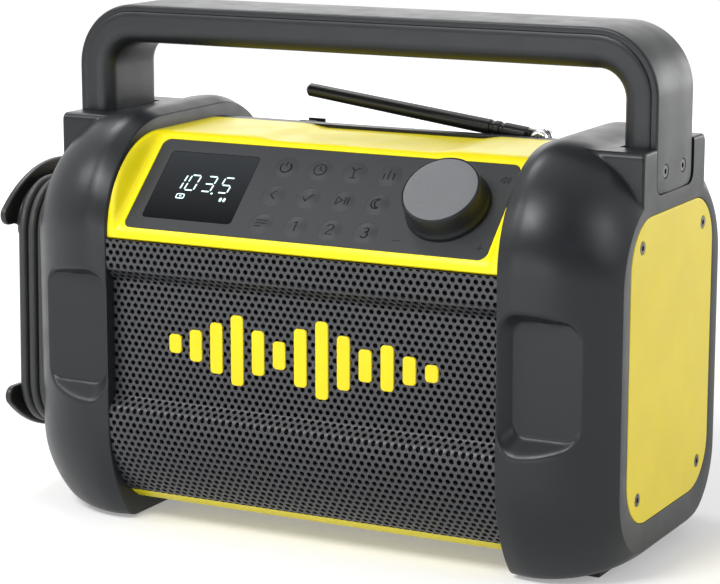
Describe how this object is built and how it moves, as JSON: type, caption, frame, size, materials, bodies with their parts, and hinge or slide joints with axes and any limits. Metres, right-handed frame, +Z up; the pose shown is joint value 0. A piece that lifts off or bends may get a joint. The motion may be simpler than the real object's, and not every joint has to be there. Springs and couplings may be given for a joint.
{
  "type": "bluetooth speaker",
  "caption": "Rugged bluetooth speaker and radio: perforated front between two rounded end caps, sloping control panel, fixed carrying handle, folding antenna and wound power cord.",
  "frame": {"origin": "on the ground, under the middle of the bounding box, which the cord hooks on the left widen", "axes": "+X to the viewer's right when facing the front, +Y from front to back, +Z up"},
  "size_m": [0.3314, 0.162, 0.2425],
  "materials": {
    "charcoal_plastic": "fine grain, satin",
    "handle_rubber": "fine grain, satin",
    "foot_rubber": "matte",
    "steel": "bright",
    "black_steel": "black oxide",
    "yellow_plastic": "gloss",
    "grille_metal": "satin powder coat",
    "black_cloth": "matte",
    "panel_plastic": "satin",
    "key_rubber": "matte",
    "mat_rubber": "matte",
    "display_plastic": "gloss",
    "module_plastic": "matte",
    "board": "solder mask",
    "knob_plastic": "gloss",
    "chrome": "polished",
    "antenna_sheath": "satin",
    "black_plastic": "fine grain",
    "cord_rubber": "matte",
    "driver_metal": "black",
    "cone_paper": "matte"
  },
  "bodies": {
    "chassis": {"left_end_cap": "charcoal_plastic", "right_end_cap": "charcoal_plastic", "handle_frame": "charcoal_plastic", "rear_shell": "charcoal_plastic", "battery_door": "charcoal_plastic", "handle_band": "handle_rubber", "feet": "foot_rubber", "inner_screws": "steel", "handle_screws": "steel", "rear_screws": "steel", "driver_screws": "steel", "encoder": "steel", "flap_pin": "steel", "side_panel_screws": "black_steel", "left_side_panel": "yellow_plastic", "right_side_panel": "yellow_plastic", "front_shell": "yellow_plastic", "grille_badge": "yellow_plastic", "grille": "grille_metal", "grille_cloth": "black_cloth", "control_panel": "panel_plastic", "keypad_mat": "mat_rubber", "display_window": "display_plastic", "display_module": "module_plastic", "power_supply": "module_plastic", "battery_pack": "module_plastic", "keypad_board": "board", "main_board": "board", "socket_board": "board", "antenna_socket": "chrome", "antenna_clip": "black_plastic", "upper_cord_hook": "black_plastic", "lower_cord_hook": "black_plastic", "power_plug": "black_plastic", "speaker_baffle": "black_plastic", "power_cord": "cord_rubber", "cord_strain_relief": "cord_rubber", "speaker_drivers": "driver_metal"},
    "antenna_turntable": {"antenna_swivel": "chrome", "antenna_pin": "steel"},
    "antenna_rod": {"antenna_mast": "antenna_sheath"},
    "knob": {"volume_knob": "knob_plastic", "knob_face": "panel_plastic", "encoder_shaft": "steel"},
    "left_cone": {"left_driver_cone": "cone_paper"},
    "right_cone": {"right_driver_cone": "cone_paper"},
    "flap": {"socket_flap": "black_plastic"},
    "power_key": {"key_power": "key_rubber"},
    "timer_key": {"key_timer": "key_rubber"},
    "source_key": {"key_source": "key_rubber"},
    "sound_key": {"key_sound": "key_rubber"},
    "back_key": {"key_back": "key_rubber"},
    "select_key": {"key_select": "key_rubber"},
    "play_key": {"key_play": "key_rubber"},
    "sleep_key": {"key_sleep": "key_rubber"},
    "more_key": {"key_more": "key_rubber"},
    "one_key": {"key_one": "key_rubber"},
    "two_key": {"key_two": "key_rubber"},
    "three_key": {"key_three": "key_rubber"}
  },
  "joints": [
    {"name": "antenna_turn", "type": "hinge", "parent": "chassis", "child": "antenna_turntable", "pos_m": [0.08725, 0.0323, 0.1795], "axis": [0, 0, -1], "range_deg": [0, 110]},
    {"name": "antenna_tilt", "type": "hinge", "parent": "antenna_turntable", "child": "antenna_rod", "pos_m": [0.08725, 0.0323, 0.184], "axis": [0, 1, 0], "range_deg": [-7.25, 82.75]},
    {"name": "volume_turn", "type": "hinge", "parent": "chassis", "child": "knob", "pos_m": [0.08115, -0.05575, 0.16391], "axis": [0, -0.682, 0.7314], "continuous": true},
    {"name": "flap_hinge", "type": "hinge", "parent": "chassis", "child": "flap", "pos_m": [0.06395, 0.0756, 0.087], "axis": [0, 0, 1], "range_deg": [0, 90]},
    {"name": "left_cone_stroke", "type": "slide", "parent": "chassis", "child": "left_cone", "axis": [0, -1, 0], "range_m": [-0.0015, 0.0015], "stiffness_N_per_m": 1500},
    {"name": "right_cone_stroke", "type": "slide", "parent": "chassis", "child": "right_cone", "axis": [0, -1, 0], "range_m": [-0.0015, 0.0015], "stiffness_N_per_m": 1500},
    {"name": "power_key_press", "type": "slide", "parent": "chassis", "child": "power_key", "axis": [0, 0.682, -0.7314], "range_m": [0, 0.0008], "stiffness_N_per_m": 500, "springref_m": -0.0004},
    {"name": "timer_key_press", "type": "slide", "parent": "chassis", "child": "timer_key", "axis": [0, 0.682, -0.7314], "range_m": [0, 0.0008], "stiffness_N_per_m": 500, "springref_m": -0.0004},
    {"name": "source_key_press", "type": "slide", "parent": "chassis", "child": "source_key", "axis": [0, 0.682, -0.7314], "range_m": [0, 0.0008], "stiffness_N_per_m": 500, "springref_m": -0.0004},
    {"name": "sound_key_press", "type": "slide", "parent": "chassis", "child": "sound_key", "axis": [0, 0.682, -0.7314], "range_m": [0, 0.0008], "stiffness_N_per_m": 500, "springref_m": -0.0004},
    {"name": "back_key_press", "type": "slide", "parent": "chassis", "child": "back_key", "axis": [0, 0.682, -0.7314], "range_m": [0, 0.0008], "stiffness_N_per_m": 500, "springref_m": -0.0004},
    {"name": "select_key_press", "type": "slide", "parent": "chassis", "child": "select_key", "axis": [0, 0.682, -0.7314], "range_m": [0, 0.0008], "stiffness_N_per_m": 500, "springref_m": -0.0004},
    {"name": "play_key_press", "type": "slide", "parent": "chassis", "child": "play_key", "axis": [0, 0.682, -0.7314], "range_m": [0, 0.0008], "stiffness_N_per_m": 500, "springref_m": -0.0004},
    {"name": "sleep_key_press", "type": "slide", "parent": "chassis", "child": "sleep_key", "axis": [0, 0.682, -0.7314], "range_m": [0, 0.0008], "stiffness_N_per_m": 500, "springref_m": -0.0004},
    {"name": "more_key_press", "type": "slide", "parent": "chassis", "child": "more_key", "axis": [0, 0.682, -0.7314], "range_m": [0, 0.0008], "stiffness_N_per_m": 500, "springref_m": -0.0004},
    {"name": "one_key_press", "type": "slide", "parent": "chassis", "child": "one_key", "axis": [0, 0.682, -0.7314], "range_m": [0, 0.0008], "stiffness_N_per_m": 500, "springref_m": -0.0004},
    {"name": "two_key_press", "type": "slide", "parent": "chassis", "child": "two_key", "axis": [0, 0.682, -0.7314], "range_m": [0, 0.0008], "stiffness_N_per_m": 500, "springref_m": -0.0004},
    {"name": "three_key_press", "type": "slide", "parent": "chassis", "child": "three_key", "axis": [0, 0.682, -0.7314], "range_m": [0, 0.0008], "stiffness_N_per_m": 500, "springref_m": -0.0004}
  ]
}
